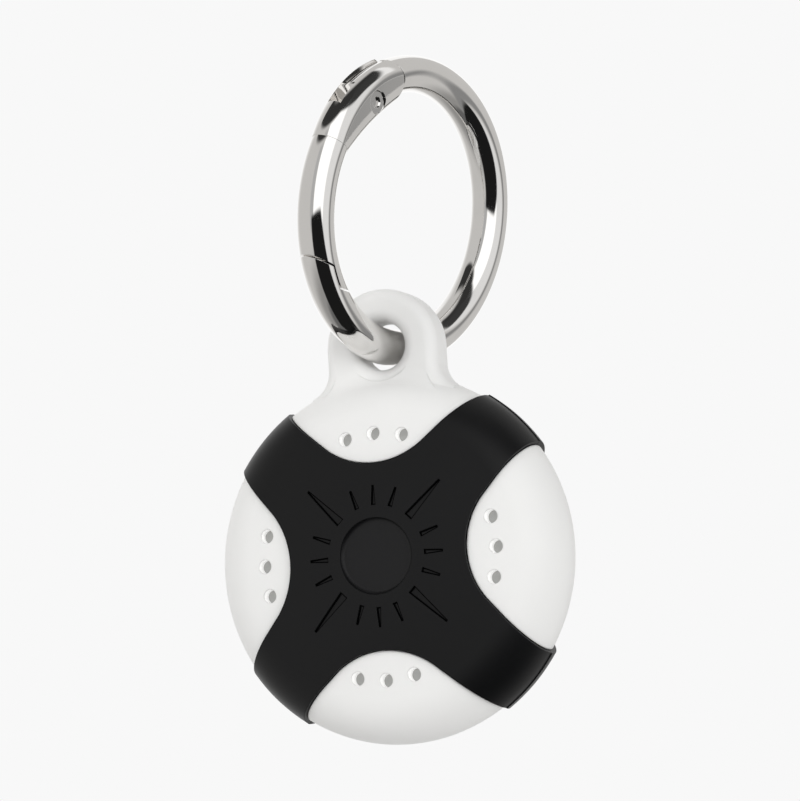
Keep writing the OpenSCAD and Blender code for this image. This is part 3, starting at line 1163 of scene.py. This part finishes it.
@dataclass(frozen=True)
class Flag:
    """A dark flag that shades the polished pieces. All its angles are in degrees.

    Attributes:
        turns: Its two sides, and their softness.
        edge: Angle of its foot or head above the horizon.
        bend: Turn past which that edge slopes down.
        fall: Slope of it there.
        soft: Angles over which the edge rises from 0 to 1.
    """

    turns: tuple[float, float, float]
    edge: float
    bend: float
    fall: float
    soft: tuple[float, float]

    def rim(self, turn: Value) -> Value:
        """Gives the angle of the flag's edge at a turn."""
        return self.edge - (turn - self.bend).top(0.0) * self.fall


@dataclass
class Room:
    """The room that polished pieces mirror. All its angles are in degrees.

    Attributes:
        wall: Colour of the walls.
        ground: Colour of the ground.
        ground_from: Angles below the horizon over which the walls turn into the ground.
        foot_from: Angles over which the ground turns into its darker middle.
        foot: Tone of that middle.
        panels: The panels, each over the ones before it, from the wall at the back left.
        low: The flag below, which hangs down from its edge.
        high: The flag above, which stands up from its edge.
        least: Least angle of the upper flag's edge.
        fade: Angles over which the upper flag ends towards the ceiling.
        share: Strength of the upper flag.
        dark: Tone of both flags.
    """

    wall: Rgba = (0.64, 0.632, 0.62, 1.0)
    ground: Rgba = (0.33, 0.326, 0.32, 1.0)
    ground_from: tuple[float, float] = (28.0, 62.0)
    foot_from: tuple[float, float] = (66.0, 78.0)
    foot: float = 0.14
    panels: tuple[Panel, ...] = (
        Panel((-300.0, -120.0, 28.0), (-24.0, 58.0, 7.0), 1.12),
        Panel((64.0, 107.0, 3.0), (-30.0, 50.0, 8.0), 0.86),
        Panel((4.5, 66.0, 3.0), (-30.0, 39.0, 2.0), 1.35),
        Panel((112.0, 124.0, 3.0), (-70.0, 12.0, 8.0), 0.28),
        Panel((-15.0, 4.0, 2.5), (-20.0, 36.0, 4.0), 0.50),
        Panel((104.0, 114.0, 2.0), (22.0, 62.0, 4.0), 1.0),
    )
    low: Flag = Flag((-7.0, 113.0, 3.5), -12.0, 50.0, 0.36, (-1.5, 2.5))
    high: Flag = Flag((-80.0, 104.0, 4.0), 41.0, 36.0, 0.42, (-2.0, 3.0))
    least: float = 21.0
    fade: tuple[float, float] = (60.0, 72.0)
    share: float = 0.96
    dark: float = 0.012

    def walls(self, bench: Bench, turn: Value, rise: Value) -> Value:
        """Makes the walls, the ground and the panels.

        Args:
            bench: The bench of the world.
            turn: The ray's turn from the front.
            rise: The ray's angle above the horizon.

        Returns:
            The colour.
        """
        down = rise * -1.0
        colour = bench.mix(down.ramp(*self.ground_from), self.wall, self.ground)
        colour = bench.mix(down.ramp(*self.foot_from), colour, grey(self.foot))
        for panel in self.panels:
            inside = bench.between(turn, *panel.turns) * bench.between(rise, *panel.rises)
            colour = bench.mix(inside, colour, grey(panel.tone))
        return colour

    def flags(self, bench: Bench, turn: Value, rise: Value) -> Value:
        """Makes the two dark flags.

        Args:
            bench: The bench of the world.
            turn: The ray's turn from the front.
            rise: The ray's angle above the horizon.

        Returns:
            The share of the flags' tone.
        """
        below = (self.low.rim(turn) - rise).ramp(*self.low.soft)
        above = (rise - self.high.rim(turn).top(self.least)).ramp(*self.high.soft)
        low = bench.between(turn, *self.low.turns) * below
        high = bench.between(turn, *self.high.turns) * above
        return low.top(high * (1.0 - rise.ramp(*self.fade)) * self.share)

    def build(self, bench: Bench) -> Value:
        """Makes the whole room.

        Args:
            bench: The bench of the world.

        Returns:
            The room's colour.
        """
        across, deep, up = bench.parts(bench.node("ShaderNodeTexCoord", output="Generated"))
        turn = across.turn(deep * -1.0) * math.degrees(1.0)
        rise = up.arcsine() * math.degrees(1.0)
        walls = self.walls(bench, turn, rise)
        return bench.mix(self.flags(bench, turn, rise), walls, grey(self.dark))


@dataclass(frozen=True)
class Lamp:
    """A large soft lamp that looks at the holder's middle.

    Attributes:
        name: Name of the lamp.
        place: Its place.
        size: Its diameter.
        power: Its power.
    """

    name: str
    place: tuple[float, float, float]
    size: float
    power: float


@dataclass
class Studio:
    """Camera, world, lamps and floor.

    Attributes:
        distance: Distance of the camera from the holder's middle, in metres.
        lens: Focal length on a sensor 36 mm wide, in millimetres.
        clip: Nearest and farthest distance that the camera sees.
        centre_up: Shift of the picture's centre from the holder's middle, up.
        centre_right: Its shift to the right.
        right: The camera's right.
        up: The camera's up, roughly.
        room: The room that lights the holder.
        lamps: The lamps.
        floor_drop: Depth of the floor below the holder's middle.
        floor_half: Half the floor's width.
        floor_finish: The floor's finish.
        backdrop: Tone of the even backdrop.
    """

    distance: float = 0.560
    lens: float = 239.1
    clip: tuple[float, float] = (0.01, 20.0)
    centre_up: float = 0.01678
    centre_right: float = 0.000147
    right: Vector = field(default_factory=lambda: Vector((0.928, 0.363, -0.054)))
    up: Vector = field(default_factory=lambda: Vector((0.094, -0.092, 0.990)))
    room: Room = field(default_factory=Room)
    lamps: tuple[Lamp, ...] = (
        Lamp("key", (-0.55, -0.75, 0.65), 0.7, 4.0),
        Lamp("fill", (0.9, -0.5, 0.1), 0.8, 2.6),
    )
    floor_drop: float = 0.30
    floor_half: float = 3.0
    floor_finish: Finish = Finish("pale_floor", (0.85, 0.85, 0.85), 0.8)
    backdrop: float = 0.939

    def set_camera(self) -> None:
        """Puts the camera at the photograph's angle."""
        right = self.right.normalized()
        back = right.cross(self.up).normalized()
        up = back.cross(right).normalized()
        camera = bpy.data.cameras.new("camera")
        camera.lens = self.lens
        camera.clip_start, camera.clip_end = self.clip
        eye = placed("camera", camera)
        place = up * self.centre_up + right * self.centre_right + back * self.distance
        turn = Matrix((right, up, back)).transposed().to_4x4()
        eye.matrix_world = Matrix.Translation(place) @ turn
        bpy.context.scene.camera = eye

    def set_world(self) -> None:
        """Lights the object with the room, and shows the camera an even backdrop."""
        world = bpy.data.worlds.new("studio")
        world.use_nodes = True
        bpy.context.scene.world = world
        bench = Bench(world.node_tree)
        clear = bench.node("ShaderNodeLightPath", output="Is Transmission Ray")
        even = bench.camera_ray().top(clear)
        pale = bench.mix(even, self.room.build(bench), grey(self.backdrop))
        background = bench.node("ShaderNodeBackground", inputs={"Color": pale, "Strength": 1.0})
        bench.node("ShaderNodeOutputWorld", inputs={"Surface": background})

    def set_lamps(self) -> None:
        """Adds the large soft lamps."""
        for item in self.lamps:
            lamp = bpy.data.lights.new(item.name, "AREA")
            lamp.shape = "DISK"
            lamp.size = item.size
            lamp.energy = item.power
            body = placed(item.name, lamp)
            body.location = item.place
            aim = (-Vector(item.place)).to_track_quat("-Z", "Y")
            body.rotation_euler = aim.to_euler()
            body.visible_glossy = False

    def set_floor(self) -> None:
        """Lays a plain pale floor well below the holder, of the backdrop's tone to the camera."""
        mesh = bpy.data.meshes.new("floor")
        half = self.floor_half
        sides = ((-half, -half), (half, -half), (half, half), (-half, half))
        mesh.from_pydata([(x, y, -self.floor_drop) for x, y in sides], [], [(0, 1, 2, 3)])
        floor = placed("floor", mesh)
        material, bench = self.floor_finish.start()
        inputs = self.floor_finish.inputs(bench)
        matt = bench.node("ShaderNodeBsdfPrincipled", inputs=inputs)
        even = bench.node("ShaderNodeEmission", inputs={"Color": grey(self.backdrop)})
        inputs = {0: bench.camera_ray(), 1: matt, 2: even}
        shown = bench.node("ShaderNodeMixShader", inputs=inputs)
        bench.node("ShaderNodeOutputMaterial", inputs={"Surface": shown})
        mesh.materials.append(material)
        floor.visible_glossy = False

    def build(self) -> None:
        """Sets up the whole studio."""
        self.set_camera()
        self.set_world()
        self.set_lamps()
        self.set_floor()
        bpy.context.scene.view_settings.view_transform = "Standard"


def corners(box: tuple[Vector, Vector]) -> list[list[float]]:
    """Turns a box's lowest and highest corner into plain lists of numbers."""
    return [[float(part) for part in corner] for corner in box]


def main() -> None:
    """Builds the scene."""
    logging.basicConfig(level=logging.INFO, format="%(name)s: %(message)s")
    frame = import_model()
    nodes: dict[str, bpy.types.Object] = frame["nodes"]
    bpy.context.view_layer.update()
    Studio().build()
    MouldedShell().build(nodes)
    CrossCovers().build(nodes)
    SpringGateRing().build(nodes)


if __name__ == "__main__":
    main()
